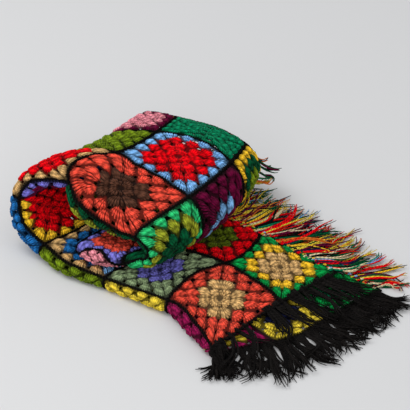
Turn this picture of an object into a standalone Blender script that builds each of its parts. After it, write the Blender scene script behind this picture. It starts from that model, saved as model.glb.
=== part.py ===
"""Crochet blanket of granny squares, folded lengthwise and rolled at one end.

The blanket is one cloth of 5 by 8 squares. It is folded once along its length, so that it
makes a strip of two layers with the fold towards the front. The strip starts at its black
fringe on the right, lies on the floor, turns up and back over itself in an open loop at the
left, comes down at the right and ends inside the loop.
"""
import math

import bmesh
import bpy
from mathutils import Vector

MM = 0.001

# The cloth: squares across and along, its thickness, and the gap to what is sewn on.
COLUMNS = 5
ROWS = 8
CLOTH = 5.0
SEAM_GAP = 0.9

# The middle of the whole part's footprint, in the station table's own axes. It becomes the
# origin.
MIDDLE_X = -19.0
MIDDLE_Y = 13.14

# Where the grid lines of one square run, as shares of its side. The narrow cells are the
# gaps of the crochet that are wider than 4 mm: the middle ring and four corner gaps.
SQUARE_LINES = (0.0, 0.215, 0.265, 0.472, 0.528, 0.735, 0.785)
GAP_CELLS = ((3, 3), (1, 1), (1, 5), (5, 1), (5, 5))

# The folded strip, station by station, in millimetres. A row is counted in squares from
# the black fringe. front and back place the outer layer at the fold and at the long edge.
# fold is the fold's radius, gap the distance between the layers, crest the column at which
# the fold lies, reach how far back the inner layer comes, crown the height of the arch
# across the strip, bow its sideways bend and slip how far the outer layer lies ahead.
STATION_NAMES = ("row", "front_x", "front_y", "front_z", "back_x", "back_y", "back_z",
                 "fold", "gap", "crest", "reach", "crown", "bow", "slip")
STATIONS = (
    (0.0, 126, -206, 2.5, 168, 112, 2.5, 12, 16, 2.95, 0.95, 0, -14, 72),
    (0.5, 60, -176, 2.5, 88, 122, 2.5, 12, 16, 2.90, 0.96, 0, -8, 72),
    (1.0, -8, -146, 2.5, 4, 130, 2.5, 12, 17, 2.87, 0.97, 0, 0, 70),
    (2.0, -132, -147, 2.5, -125, 150, 2.5, 12, 17, 2.92, 0.95, 0, 4, 50),
    (2.5, -202, -152, 2.5, -192, 172, 2.5, 13, 18, 2.90, 0.93, 0, 10, 34),
    (3.0, -270, -138, 8, -250, 186, 6, 13, 20, 2.88, 0.90, 0, 14, 16),
    (3.5, -334, -126, 40, -304, 194, 38, 13, 20, 2.90, 0.86, 0, 18, 4),
    (4.0, -348, -110, 86, -318, 200, 80, 13, 20, 2.95, 0.82, 4, 22, 0),
    (4.4, -326, -92, 124, -294, 208, 108, 14, 20, 3.00, 0.80, 10, 26, 0),
    (5.0, -258, -66, 134, -240, 214, 114, 16, 20, 3.00, 0.78, 16, 30, 0),
    (5.25, -222, -98, 114, -204, 216, 117, 16, 20, 3.00, 0.77, 18, 30, 0),
    (5.5, -184, -108, 108, -168, 218, 119, 16, 20, 3.00, 0.76, 20, 30, 0),
    (6.0, -98, -102, 104, -102, 220, 107, 14, 18, 3.00, 0.74, 22, 28, 0),
    (6.35, -62, -104, 76, -70, 216, 76, 10, 14, 3.00, 0.74, 8, 26, 0),
    (6.7, -76, -104, 44, -80, 208, 43, 9, 14, 2.95, 0.74, 2, 22, 0),
    (7.1, -126, -122, 33.5, -116, 204, 32, 12, 16, 2.80, 0.74, 0, 18, 0),
    (7.6, -162, -136, 34, -168, 200, 32, 13, 17, 2.76, 0.74, 0, 12, 0),
    (8.0, -197, -134, 37, -214, 196, 40, 12, 17, 2.76, 0.74, 0, 8, 0),
)
GAP_RUN = 60.0
SLIP_RUN = 150.0
CROWN_POWER = 2.5
PROBE = 0.03

# The joins dip between the squares, but not where the cloth lies flat on the floor.
SEAM_DIP = 3.0
SEAM_SHARE = 0.09
FLOOR_ROW = 2.5

# The plump square at the front of the roll.
LUMP_HEIGHT = 10.0
LUMP_ROW = 4.7
LUMP_ROWS = 0.9
LUMP_DEPTH = 50.0
LUMP_RUN = 45.0

# Fringe: a backing strip along the edge with one lock to each step of the strip. A lock
# is set by three rings, at shares of its length, with their widths as shares of a step.
STRIP_WIDTH = 6.0
STRIP_THICK = 4.6
LOCK_SHARES = (0.22, 0.58, 1.0)
LOCK_WIDTHS = (0.62, 0.50, 0.16)
LOCK_THICKS = (4.4, 3.6, 1.6)
LOCK_FALL = 2.0
CUBE_CORNERS = ((-1, -1), (-1, 1), (1, 1), (1, -1))

# Each fringe: its name, the edge that it is sewn to, where on that edge it starts and ends,
# how many locks it has, whether they lie level on a layer below, and its yarn.
FRINGES = (
    ("end_fringe_top", "end", 3.22, 4.95, 24, True, "black_yarn"),
    ("end_fringe_lower", "end", 0.05, 2.70, 36, True, "black_yarn"),
    ("side_fringe_top", "inner side", 0.06, 2.90, 34, True, "mixed_yarn"),
    ("side_fringe_lower", "outer side", 0.06, 2.45, 29, True, "mixed_yarn"),
    ("roll_fringe_outer", "outer side", 2.51, 7.95, 46, False, "mixed_yarn"),
    ("roll_fringe_inner", "inner side", 2.96, 7.95, 38, False, "mixed_yarn"),
)

# How the locks lie: lengths, the lowest level over the layer below, and the headings,
# counted from the +X direction.
END_LENGTH = 88.0
SIDE_LENGTH = 92.0
ROLL_LENGTH = 66.0
OVER_REST = 7.6
END_FAN = math.radians(-48)
LOWER_FAN = math.radians(-64)
FAN_WOBBLE = math.radians(1.6)
LOWER_SHARES = (0.0, 0.2, 0.5, 0.78, 0.9, 1.0)
LOWER_REACHES = (0.66, 0.90, 1.00, 1.15, 0.85, 0.78)
SIDE_TURN = math.radians(70)
CORNER_TURN = math.radians(50)
CORNER_SHARE = 0.35
CORNER_SHORTER = 0.35
SHORT_SHARE = 0.25
ROLL_SHORTER = 0.30
ROLL_SHARE = 0.4
ROLL_TURN = math.radians(82)
INNER_TURN = math.radians(22)
TURN_SHARE = 0.7
TURN_SPREAD = 0.15
TURN_SHORTER = 0.45
OUTER_DROOP = 0.5
INNER_DROOP = 0.2
LOW_ROOT = 55.0
LOW_DROOP = 4.0

COLOURS = {
    "yarn": (0.55, 0.06, 0.05, 1.0),
    "black_yarn": (0.012, 0.010, 0.010, 1.0),
    "mixed_yarn": (0.35, 0.22, 0.05, 1.0),
}


def clear_scene():
    for thing in list(bpy.data.objects):
        bpy.data.objects.remove(thing, do_unlink=True)


def make_material(name):
    material = bpy.data.materials.new(name)
    material.use_nodes = True
    shader = material.node_tree.nodes["Principled BSDF"]
    shader.inputs["Base Color"].default_value = COLOURS[name]
    shader.inputs["Roughness"].default_value = 0.9
    shader.inputs["Metallic"].default_value = 0.0
    return material


def slopes(rows, values):
    """Slopes for a curve through the stations that never overshoots them."""
    count = len(rows)
    steps = [rows[i + 1] - rows[i] for i in range(count - 1)]
    rises = [(values[i + 1] - values[i]) / steps[i] for i in range(count - 1)]
    found = [rises[0]]
    for i in range(1, count - 1):
        before, after = rises[i - 1], rises[i]
        if before * after <= 0.0:
            found.append(0.0)
            continue
        first = 2 * steps[i] + steps[i - 1]
        second = steps[i] + 2 * steps[i - 1]
        found.append((first + second) / (first / before + second / after))
    found.append(rises[-1])
    return found


ROW_MARKS = [station[0] for station in STATIONS]
CURVES = {}
for place, title in enumerate(STATION_NAMES):
    levels = [station[place] for station in STATIONS]
    CURVES[title] = (levels, slopes(ROW_MARKS, levels))


def read(title, row):
    """One named value of the station table at any row."""
    values, bends = CURVES[title]
    row = min(max(row, ROW_MARKS[0]), ROW_MARKS[-1])
    i = 0
    while i < len(ROW_MARKS) - 2 and row > ROW_MARKS[i + 1]:
        i += 1
    span = ROW_MARKS[i + 1] - ROW_MARKS[i]
    t = (row - ROW_MARKS[i]) / span
    value = (2 * t ** 3 - 3 * t ** 2 + 1) * values[i]
    value += (t ** 3 - 2 * t ** 2 + t) * span * bends[i]
    value += (-2 * t ** 3 + 3 * t ** 2) * values[i + 1]
    value += (t ** 3 - t ** 2) * span * bends[i + 1]
    return value


def front(row):
    place = Vector((read("front_x", row), read("front_y", row), read("front_z", row)))
    return place - Vector((MIDDLE_X, MIDDLE_Y, 0))


def back(row):
    place = Vector((read("back_x", row), read("back_y", row), read("back_z", row)))
    return place - Vector((MIDDLE_X, MIDDLE_Y, 0))


def ease(share):
    share = min(max(share, 0.0), 1.0)
    return share * share * (3 - 2 * share)


def bell(offset):
    return math.exp(-offset * offset)


def seam_dip(row, column):
    """How deep the black joins lie between the plump squares."""
    nearest = min(abs(row - round(row)), abs(column - round(column)))
    return SEAM_DIP * bell(nearest / SEAM_SHARE)


def lifted(row, side, turn):
    """One where the cloth is free to dip, none where the lower layer lies on the floor."""
    if side < 0:
        return 1.0
    return max(ease(row - FLOOR_ROW), math.cos(turn) ** 2)


def cloth_point(row, column):
    """The middle of the cloth at a row and a column, in millimetres."""
    near, far = front(row), back(row)
    across = (far - near).normalized()
    length = (far - near).length
    fold = read("fold", row)
    crest = read("crest", row)
    quarter = math.pi * fold / 2
    if column <= crest:
        side = 1.0
        run = (crest - column) / crest * (quarter + length - fold)
    else:
        side = -1.0
        inner = quarter + length * read("reach", row) - fold
        run = (column - crest) / (COLUMNS - crest) * inner
    turn = min(run / fold, math.pi / 2)
    if run < quarter:
        depth = fold * (1 - math.cos(turn))
        rise = fold * (side * math.sin(turn) - 1)
    else:
        depth = fold + run - quarter
        rise = fold * (side - 1)
    share = depth / length
    if side < 0:
        rise += ease((depth - fold) / GAP_RUN) * (2 * fold - read("gap", row))
    ahead, behind = min(row + PROBE, float(ROWS)), max(row - PROBE, 0.0)
    along = (front(ahead) - front(behind)).lerp(back(ahead) - back(behind), share)
    outward = along.cross(across).normalized()
    middle = abs(2 * min(max(share, 0.0), 1.0) - 1)
    rise += read("crown", row) * (1 - middle ** CROWN_POWER)
    shift = read("bow", row) * (1 - middle ** 2)
    if side > 0:
        shift += read("slip", row) * ease(depth / SLIP_RUN)
        lump = bell((row - LUMP_ROW) / LUMP_ROWS) * bell((depth - LUMP_DEPTH) / LUMP_RUN)
        rise += LUMP_HEIGHT * lump
    dip = seam_dip(row, column) * lifted(row, side, turn)
    rise -= side * dip * math.sin(turn)
    depth += dip * math.cos(turn)
    return near + across * depth + outward * rise + Vector((shift, 0, 0))


def grid_lines(squares):
    lines = [square + share for square in range(squares) for share in SQUARE_LINES]
    return lines + [float(squares)]


def new_object(name, bm, material, collection):
    mesh = bpy.data.meshes.new(name)
    bm.to_mesh(mesh)
    bm.free()
    thing = bpy.data.objects.new(name, mesh)
    thing.data.materials.append(material)
    collection.objects.link(thing)
    return thing


def make_cloth(material, collection):
    rows, columns = grid_lines(ROWS), grid_lines(COLUMNS)
    bm = bmesh.new()
    bmesh.ops.create_grid(bm, x_segments=len(rows) - 1, y_segments=len(columns) - 1, size=0.5)
    place = {}
    for vert in bm.verts:
        i = round((vert.co.x + 0.5) * (len(rows) - 1))
        j = round((vert.co.y + 0.5) * (len(columns) - 1))
        place[vert] = (i, j)
    cells = len(SQUARE_LINES)
    gaps = []
    for face in bm.faces:
        i = min(place[vert][0] for vert in face.verts) % cells
        j = min(place[vert][1] for vert in face.verts) % cells
        if (i, j) in GAP_CELLS:
            gaps.append(face)
    for vert, (i, j) in place.items():
        vert.co = cloth_point(rows[i], columns[j]) * MM
    bmesh.ops.delete(bm, geom=gaps, context="FACES")
    thing = new_object("blanket", bm, material, collection)
    wall = thing.modifiers.new("thickness", "SOLIDIFY")
    wall.thickness = CLOTH * MM
    wall.offset = 0.0
    wall.use_even_offset = False
    return thing


def extrude_to(bm, face, ring, new_ring):
    """Extrude a face whose corners lie on ring and move them to new_ring."""
    new_face = bmesh.ops.extrude_discrete_faces(bm, faces=[face])["faces"][0]
    for vert in new_face.verts:
        near = min(range(len(ring)), key=lambda k: (vert.co - ring[k] * MM).length)
        vert.co = new_ring[near] * MM
    return new_face


def strip_ring(edge, outward, up):
    """Four corners of a backing strip: inner low, inner high, outer high, outer low."""
    inner = edge + outward * SEAM_GAP
    outer = edge + outward * (SEAM_GAP + STRIP_WIDTH)
    half = up * STRIP_THICK / 2
    return [inner - half, inner + half, outer + half, outer - half]


def lock_ring(centre, aside, up, width, thick):
    half = aside * width / 2
    rise = up * thick / 2
    return [centre - half - rise, centre - half + rise, centre + half + rise, centre + half - rise]


def edge_frame(edge, inside, before, after):
    """Where an edge is, which way leads off the cloth, and the cloth's own normal."""
    forward = (after - before).normalized()
    up = (edge - inside).cross(forward).normalized()
    return edge, forward.cross(up), up


def end_edge(column):
    """The fringed short end, at any column."""
    return edge_frame(cloth_point(0.0, column), cloth_point(PROBE, column),
                      cloth_point(0.0, column - PROBE), cloth_point(0.0, column + PROBE))


def side_edge(side):
    """A long edge, at any row: side 0 is the outer layer's and COLUMNS the inner layer's."""
    inside = side + PROBE if side == 0 else side - PROBE

    def at(row):
        return edge_frame(cloth_point(row, side), cloth_point(row, inside),
                          cloth_point(row - PROBE, side), cloth_point(row + PROBE, side))
    return at


def wobble(count, size):
    """An uneven but fixed share for the lock of this number."""
    return size * (math.sin(2.4 * count) + 0.6 * math.sin(5.9 * count + 1.0))


def start_strip(bm, first, second):
    """The first length of a strip, from one ring of four corners to the next."""
    bmesh.ops.create_cube(bm, size=2.0)
    end = max(bm.faces, key=lambda face: face.calc_center_median().z)
    for vert in bm.verts:
        ring = second if vert.co.z > 0 else first
        vert.co = ring[CUBE_CORNERS.index((round(vert.co.x), round(vert.co.y)))] * MM
    return end


def turn_from(up, heading, aside):
    """The direction across a lock, on the side that its root faces."""
    turned = up.cross(heading).normalized()
    return turned if turned.dot(aside) > 0 else -turned


def level_up(up, share):
    """A lock that lies on a flat layer turns level before it is half out."""
    upright = Vector((0, 0, math.copysign(1, up.z)))
    return upright if share > 0.5 else (up + upright).normalized()


def make_fringe(name, stops, edge_at, lie, flat, material, collection):
    """A backing strip through the stops of an edge, with a lock on every step."""
    frames = [edge_at(stop) for stop in stops]
    rings = [strip_ring(*frame) for frame in frames]
    bm = bmesh.new()
    end = start_strip(bm, rings[0], rings[1])
    for ring, new_ring in zip(rings[1:], rings[2:]):
        end = extrude_to(bm, end, ring, new_ring)
    for i in range(len(stops) - 1):
        ring = [rings[i][3], rings[i][2], rings[i + 1][2], rings[i + 1][3]]
        centre = sum(ring, Vector()) / 4
        face = min(bm.faces, key=lambda one: (one.calc_center_median() - centre * MM).length)
        aside = ring[2] - ring[1]
        up = (frames[i][2] + frames[i + 1][2]).normalized()
        angle, length, rest = lie(i / (len(stops) - 2), i, centre.z)
        heading = Vector((math.cos(angle), math.sin(angle), 0))
        turned = turn_from(up, heading, aside)
        for share, width, thick in zip(LOCK_SHARES, LOCK_WIDTHS, LOCK_THICKS):
            spot = centre + heading * (length * share)
            level = rest + thick / 2
            spot.z = level + (centre.z - level) * (1 - share) ** LOCK_FALL
            if flat:
                up = level_up(up, share)
                turned = turn_from(up, heading, aside)
            new_ring = lock_ring(spot, turned, up, aside.length * width, thick)
            face = extrude_to(bm, face, ring, new_ring)
            ring = new_ring
    bmesh.ops.recalc_face_normals(bm, faces=bm.faces)
    return new_object(name, bm, material, collection)


def spaced(first, last, count):
    return [first + (last - first) * k / count for k in range(count + 1)]


def end_top_lie(share, count, root_z):
    angle = END_FAN * (1 - share) ** 2 + wobble(count, FAN_WOBBLE)
    return angle, END_LENGTH * (1 + wobble(count, 0.05)), OVER_REST


def lower_reach(share):
    """The lower locks are shorter towards both corners."""
    i = 0
    while i < len(LOWER_SHARES) - 2 and share > LOWER_SHARES[i + 1]:
        i += 1
    t = (share - LOWER_SHARES[i]) / (LOWER_SHARES[i + 1] - LOWER_SHARES[i])
    return LOWER_REACHES[i] + (LOWER_REACHES[i + 1] - LOWER_REACHES[i]) * t


def end_lower_lie(share, count, root_z):
    angle = LOWER_FAN * share ** 2 + wobble(count, FAN_WOBBLE)
    return angle, END_LENGTH * lower_reach(share) * (1 + wobble(count, 0.05)), 0.0


def side_angle(share):
    return SIDE_TURN - CORNER_TURN * max(0.0, 1 - share / CORNER_SHARE) ** 2


def side_length(share, count):
    shorter = 1 - CORNER_SHORTER * max(0.0, 1 - share / SHORT_SHARE)
    return SIDE_LENGTH * shorter * (1 + wobble(count, 0.05))


def side_top_lie(share, count, root_z):
    angle = side_angle(share) + wobble(count, FAN_WOBBLE)
    return angle, side_length(share, count), OVER_REST


def side_lower_lie(share, count, root_z):
    angle = side_angle(share) + wobble(count, FAN_WOBBLE)
    return angle, side_length(share, count), 0.0


def roll_length(share, count):
    return ROLL_LENGTH * (1 - ROLL_SHORTER * ease(share / ROLL_SHARE)) * (1 + wobble(count, 0.04))


def roll_outer_lie(share, count, root_z):
    return ROLL_TURN, roll_length(share, count), root_z * OUTER_DROOP


def roll_inner_lie(share, count, root_z):
    droop = INNER_DROOP * ease((root_z - LOW_ROOT) / LOW_ROOT)
    rest = root_z * (1 - droop) - LOW_DROOP
    turning = bell((share - TURN_SHARE) / TURN_SPREAD)
    length = roll_length(share, count) * (1 - TURN_SHORTER * turning)
    return ROLL_TURN + INNER_TURN * turning, length, rest


LIES = {
    "end_fringe_top": end_top_lie,
    "end_fringe_lower": end_lower_lie,
    "side_fringe_top": side_top_lie,
    "side_fringe_lower": side_lower_lie,
    "roll_fringe_outer": roll_outer_lie,
    "roll_fringe_inner": roll_inner_lie,
}
EDGES = {"end": end_edge, "outer side": side_edge(0), "inner side": side_edge(COLUMNS)}


def main():
    clear_scene()
    collection = bpy.data.collections.new("crochet_blanket")
    bpy.context.scene.collection.children.link(collection)
    materials = {name: make_material(name) for name in COLOURS}
    make_cloth(materials["yarn"], collection)
    for name, edge, first, last, locks, flat, yarn in FRINGES:
        make_fringe(name, spaced(first, last, locks), EDGES[edge], LIES[name], flat,
                    materials[yarn], collection)


main()
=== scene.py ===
# %% [markdown]
# A crochet blanket, folded and rolled. The real blanket is one cloth of forty granny squares,
# five across and eight long, sewn together with black yarn. It lies on the floor folded once
# along its length, and its far half is turned up and back over itself in a loose loop. The
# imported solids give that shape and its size. This script dresses them: stitches, black joins
# and loose fringe, all laid on the same folded surface.

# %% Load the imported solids
import math
from collections import namedtuple

import bmesh
import bpy
import numpy as np
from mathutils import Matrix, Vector


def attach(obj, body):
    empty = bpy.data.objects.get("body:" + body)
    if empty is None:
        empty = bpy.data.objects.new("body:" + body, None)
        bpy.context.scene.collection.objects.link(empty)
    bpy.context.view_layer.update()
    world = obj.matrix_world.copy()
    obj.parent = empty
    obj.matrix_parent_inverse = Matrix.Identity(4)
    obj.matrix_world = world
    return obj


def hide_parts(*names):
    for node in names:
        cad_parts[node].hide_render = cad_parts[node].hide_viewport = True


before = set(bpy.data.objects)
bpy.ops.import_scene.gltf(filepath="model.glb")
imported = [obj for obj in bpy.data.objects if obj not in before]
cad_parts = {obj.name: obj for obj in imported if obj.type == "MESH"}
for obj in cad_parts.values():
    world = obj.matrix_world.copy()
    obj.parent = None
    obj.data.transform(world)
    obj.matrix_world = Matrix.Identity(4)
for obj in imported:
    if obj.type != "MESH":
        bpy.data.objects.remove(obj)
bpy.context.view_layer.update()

# %% [markdown]
# The folded shape comes first, because every stitch sits on it. A cloth simulation could fold
# a flat sheet, but the folds of the real blanket would not come out where they are. Stations
# along the strip, each with the places of its front and back edge, put every fold one by one.
# These are the same numbers that the solids were made from, in millimetres.

# %% The stations of the folded strip
MM = 0.001
COLUMNS = 5
ROWS = 8
MIDDLE = np.array((-19.0, 13.14, 0.0))
STATION_NAMES = ("row", "front_x", "front_y", "front_z", "back_x", "back_y", "back_z",
                 "fold", "gap", "crest", "reach", "crown", "bow", "slip")
STATIONS = np.array((
    (0.0, 126, -206, 2.5, 168, 112, 2.5, 12, 16, 2.95, 0.95, 0, -14, 72),
    (0.5, 60, -176, 2.5, 88, 122, 2.5, 12, 16, 2.90, 0.96, 0, -8, 72),
    (1.0, -8, -146, 2.5, 4, 130, 2.5, 12, 17, 2.87, 0.97, 0, 0, 70),
    (2.0, -132, -147, 2.5, -125, 150, 2.5, 12, 17, 2.92, 0.95, 0, 4, 50),
    (2.5, -202, -152, 2.5, -192, 172, 2.5, 13, 18, 2.90, 0.93, 0, 10, 34),
    (3.0, -270, -138, 8, -250, 186, 6, 13, 20, 2.88, 0.90, 0, 14, 16),
    (3.5, -334, -126, 40, -304, 194, 38, 13, 20, 2.90, 0.86, 0, 18, 4),
    (4.0, -348, -110, 86, -318, 200, 80, 13, 20, 2.95, 0.82, 4, 22, 0),
    (4.4, -326, -92, 124, -294, 208, 108, 14, 20, 3.00, 0.80, 10, 26, 0),
    (5.0, -258, -66, 134, -240, 214, 114, 16, 20, 3.00, 0.78, 16, 30, 0),
    (5.25, -222, -98, 114, -204, 216, 117, 16, 20, 3.00, 0.77, 18, 30, 0),
    (5.5, -184, -108, 108, -168, 218, 119, 16, 20, 3.00, 0.76, 20, 30, 0),
    (6.0, -98, -102, 104, -102, 220, 107, 14, 18, 3.00, 0.74, 22, 28, 0),
    (6.35, -62, -104, 76, -70, 216, 76, 10, 14, 3.00, 0.74, 8, 26, 0),
    (6.7, -76, -104, 44, -80, 208, 43, 9, 14, 2.95, 0.74, 2, 22, 0),
    (7.1, -126, -122, 33.5, -116, 204, 32, 12, 16, 2.80, 0.74, 0, 18, 0),
    (7.6, -162, -136, 34, -168, 200, 32, 13, 17, 2.76, 0.74, 0, 12, 0),
    (8.0, -197, -134, 37, -214, 196, 40, 12, 17, 2.76, 0.74, 0, 8, 0),
))
print(len(STATIONS), "stations")

# %% [markdown]
# The table gives the shape only at its stations. Straight lines between them would crease the
# cloth, and an ordinary smooth curve would swing past them, so that the flat part dips under
# the floor. These curves are level at each peak and valley and take a weighted mean of the
# slopes on both sides elsewhere, so they never overshoot.

# %% Smooth curves through the stations
MARKS = STATIONS[:, 0]


def rates(values):
    """Slopes at the stations for a curve that never overshoots them."""
    spans = np.diff(MARKS)
    rises = np.diff(values) / spans
    found = [rises[0]]
    for i in range(1, len(spans)):
        before, after = rises[i - 1], rises[i]
        if before * after <= 0:
            found.append(0.0)
            continue
        first = 2 * spans[i] + spans[i - 1]
        second = spans[i] + 2 * spans[i - 1]
        found.append((first + second) / (first / before + second / after))
    return np.array(found + [rises[-1]])


CURVES = {name: (STATIONS[:, k], rates(STATIONS[:, k]))
          for k, name in enumerate(STATION_NAMES)}


def read(name, row):
    """One named value of the stations at an array of rows."""
    values, bends = CURVES[name]
    row = np.clip(row, MARKS[0], MARKS[-1])
    i = np.clip(np.searchsorted(MARKS, row) - 1, 0, len(MARKS) - 2)
    span = MARKS[i + 1] - MARKS[i]
    t = (row - MARKS[i]) / span
    start = (2 * t ** 3 - 3 * t ** 2 + 1) * values[i] + (t ** 3 - 2 * t ** 2 + t) * span * bends[i]
    end = (3 * t ** 2 - 2 * t ** 3) * values[i + 1] + (t ** 3 - t ** 2) * span * bends[i + 1]
    return start + end


def edge_line(name, row):
    """The front or the back edge of the strip, in millimetres."""
    return np.stack([read(name + axis, row) for axis in ("_x", "_y", "_z")], -1) - MIDDLE


print("the fold starts at", edge_line("front", np.array(0.0)), "mm")

# %% [markdown]
# Now the middle of the cloth at any row and column. Across the strip the cloth is a U on its
# side: one layer, a half turn round the front fold, and the other layer. Columns up to the
# crest are on the outer layer, the rest on the inner one. The arch of the roll, its sideways
# bend, one soft lump and the dips along the joins are added to that.

# %% The middle of the cloth
GAP_RUN, SLIP_RUN, CROWN_POWER, PROBE = 60.0, 150.0, 2.5, 0.03
SEAM_DIP, SEAM_SHARE, FLOOR_ROW = 3.0, 0.09, 2.5
LUMP = (10.0, 4.7, 0.9, 50.0, 45.0)


def ease(share):
    share = np.clip(share, 0, 1)
    return share * share * (3 - 2 * share)


def bell(offset):
    return np.exp(-offset * offset)


def unit(vectors):
    return vectors / np.maximum(np.linalg.norm(vectors, axis=-1, keepdims=True), 1e-12)


def cloth_middle(row, column):
    """Where the middle of the cloth is at arrays of rows and columns, in millimetres."""
    near, far = edge_line("front", row), edge_line("back", row)
    across = unit(far - near)
    length = np.linalg.norm(far - near, axis=-1)
    fold, crest = read("fold", row), read("crest", row)
    quarter = math.pi * fold / 2
    outer = column <= crest
    side = np.where(outer, 1.0, -1.0)
    run = np.where(outer, (crest - column) / crest * (quarter + length - fold),
                   (column - crest) / (COLUMNS - crest)
                   * (quarter + length * read("reach", row) - fold))
    turning = run < quarter
    turn = np.minimum(run / fold, math.pi / 2)
    depth = np.where(turning, fold * (1 - np.cos(turn)), fold + run - quarter)
    rise = np.where(turning, fold * (side * np.sin(turn) - 1), fold * (side - 1))
    share = depth / length
    rise += np.where(outer, 0, ease((depth - fold) / GAP_RUN) * (2 * fold - read("gap", row)))
    ahead, behind = np.minimum(row + PROBE, ROWS), np.maximum(row - PROBE, 0)
    front_step = edge_line("front", ahead) - edge_line("front", behind)
    back_step = edge_line("back", ahead) - edge_line("back", behind)
    along = front_step + (back_step - front_step) * share[..., None]
    outward = unit(np.cross(along, across))
    middle = np.abs(2 * np.clip(share, 0, 1) - 1)
    rise += read("crown", row) * (1 - middle ** CROWN_POWER)
    shift = read("bow", row) * (1 - middle ** 2)
    shift += np.where(outer, read("slip", row) * ease(depth / SLIP_RUN), 0)
    height, lump_row, rows, lump_depth, reach = LUMP
    rise += np.where(outer, height * bell((row - lump_row) / rows)
                     * bell((depth - lump_depth) / reach), 0)
    nearest = np.minimum(np.abs(row - np.round(row)), np.abs(column - np.round(column)))
    free = np.where(outer, np.maximum(ease(row - FLOOR_ROW), np.cos(turn) ** 2), 1)
    dip = SEAM_DIP * bell(nearest / SEAM_SHARE) * free
    rise -= side * dip * np.sin(turn)
    depth = depth + dip * np.cos(turn)
    place = near + across * depth[..., None] + outward * rise[..., None]
    place[..., 0] += shift
    return place


print("the roll is", round(float(cloth_middle(np.array(5.5), np.array(1.5))[2])), "mm high")

# %% [markdown]
# Thousands of stitches need places on this surface. Working the curves out for each point of
# each stitch would be slow, so the surface is measured once on a fine grid, with the direction
# that the right side of the cloth faces. A place is then given by its row and its column, and
# looked up between the four nearest points of the grid.

# %% A fine grid of the surface, and the look-up
FINE = 48
grid_row, grid_column = np.meshgrid(np.linspace(0, ROWS, ROWS * FINE + 1),
                                    np.linspace(0, COLUMNS, COLUMNS * FINE + 1), indexing="ij")
surface = cloth_middle(grid_row, grid_column) * MM
facing = unit(np.cross(np.gradient(surface, axis=1), np.gradient(surface, axis=0)))


def looked_up(grid, row, column):
    """The grid's value at any rows and columns, blended between its four nearest points."""
    i = np.clip(row, 0, ROWS) * FINE
    j = np.clip(column, 0, COLUMNS) * FINE
    i0 = np.minimum(i.astype(int), ROWS * FINE - 1)
    j0 = np.minimum(j.astype(int), COLUMNS * FINE - 1)
    down, right = (i - i0)[..., None], (j - j0)[..., None]
    upper = grid[i0, j0] * (1 - right) + grid[i0, j0 + 1] * right
    lower = grid[i0 + 1, j0] * (1 - right) + grid[i0 + 1, j0 + 1] * right
    return upper * (1 - down) + lower * down


steps = np.linalg.norm(np.diff(surface, axis=0), axis=-1).sum(0).mean() / ROWS
print("grid of", surface.shape[:2], "points, a square is about", round(float(steps), 3), "m long")

# %% [markdown]
# Hand-made squares are never all the same size, so the joins between them wander. The folded
# shape could be bent for that, but its folds would move too. It is easier to slide the crochet
# over the surface. Each join below has places along it and how far it has moved there, both
# counted in squares, and what lies between two joins moves in proportion.

# %% Let the joins wander
# Joins between columns: a row along the join, and its move towards the higher columns.
COLUMN_SEAMS = {
    1: ((4.4, 0), (4.97, -0.08), (5.09, -0.20), (5.24, -0.36), (5.41, -0.40), (5.65, -0.38),
        (5.8, -0.32), (6.0, -0.24), (6.5, -0.06), (7.0, 0)),
    2: ((4.8, 0), (5.0, -0.01), (5.12, -0.12), (5.27, -0.25), (5.44, -0.24), (5.6, -0.22),
        (5.77, -0.13), (6.0, -0.08), (6.4, 0)),
    3: ((0, 0), (0.3, 0.05), (0.7, 0.06), (1.0, 0), (5.0, 0), (5.18, -0.10), (5.32, -0.12),
        (5.48, -0.11), (5.64, -0.07), (5.8, 0), (6.8, 0), (7.05, -0.28), (7.5, -0.06),
        (7.8, -0.16), (8.0, -0.40)),
    4: ((0, 0.18), (0.2, 0.21), (0.5, 0.20), (0.8, 0.16), (1.0, 0.16), (1.5, 0.10), (2.0, 0)),
}
# Joins between rows: a column along the join, and its move towards the higher rows.
ROW_SEAMS = {
    1: ((2.9, 0), (3.0, 0.02), (3.25, 0.11), (3.5, 0.16), (3.7, 0.14), (3.9, 0.06), (4.0, 0),
        (4.2, -0.07), (4.5, -0.07), (4.85, 0), (5.0, 0.06)),
    4: ((2.2, 0), (2.5, -0.05), (2.8, 0)),
    5: ((2.0, 0), (2.13, -0.02), (2.31, -0.08), (2.46, -0.13), (2.59, -0.14), (2.72, -0.12),
        (2.85, -0.07), (3.0, 0)),
}


def wander(seams, along, across):
    """How far the crochet moves at each place, blended between the joins on its two sides."""
    total = np.zeros_like(across)
    for seam, points in seams.items():
        places, shifts = zip(*points)
        weight = np.clip(1 - np.abs(across - seam), 0, 1)
        total = total + weight * np.interp(along, places, shifts)
    return total


def on_cloth(row, column, height):
    """Places at a height over the cloth, and the way that its right side faces there."""
    row, column = np.broadcast_arrays(np.asarray(row, float), np.asarray(column, float))
    row, column = (row + wander(ROW_SEAMS, column, row),
                   column + wander(COLUMN_SEAMS, row, column))
    up = unit(looked_up(facing, row, column))
    return looked_up(surface, row, column) + up * (height * MM)[..., None], up


print(len(COLUMN_SEAMS) + len(ROW_SEAMS), "joins wander")

# %% [markdown]
# The yarn colours. The blanket is made of leftovers, so nearly every square has its own set.
# The names stand for dyed wool, given as they look on a screen and turned into the plain light
# values that shaders use.

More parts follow.
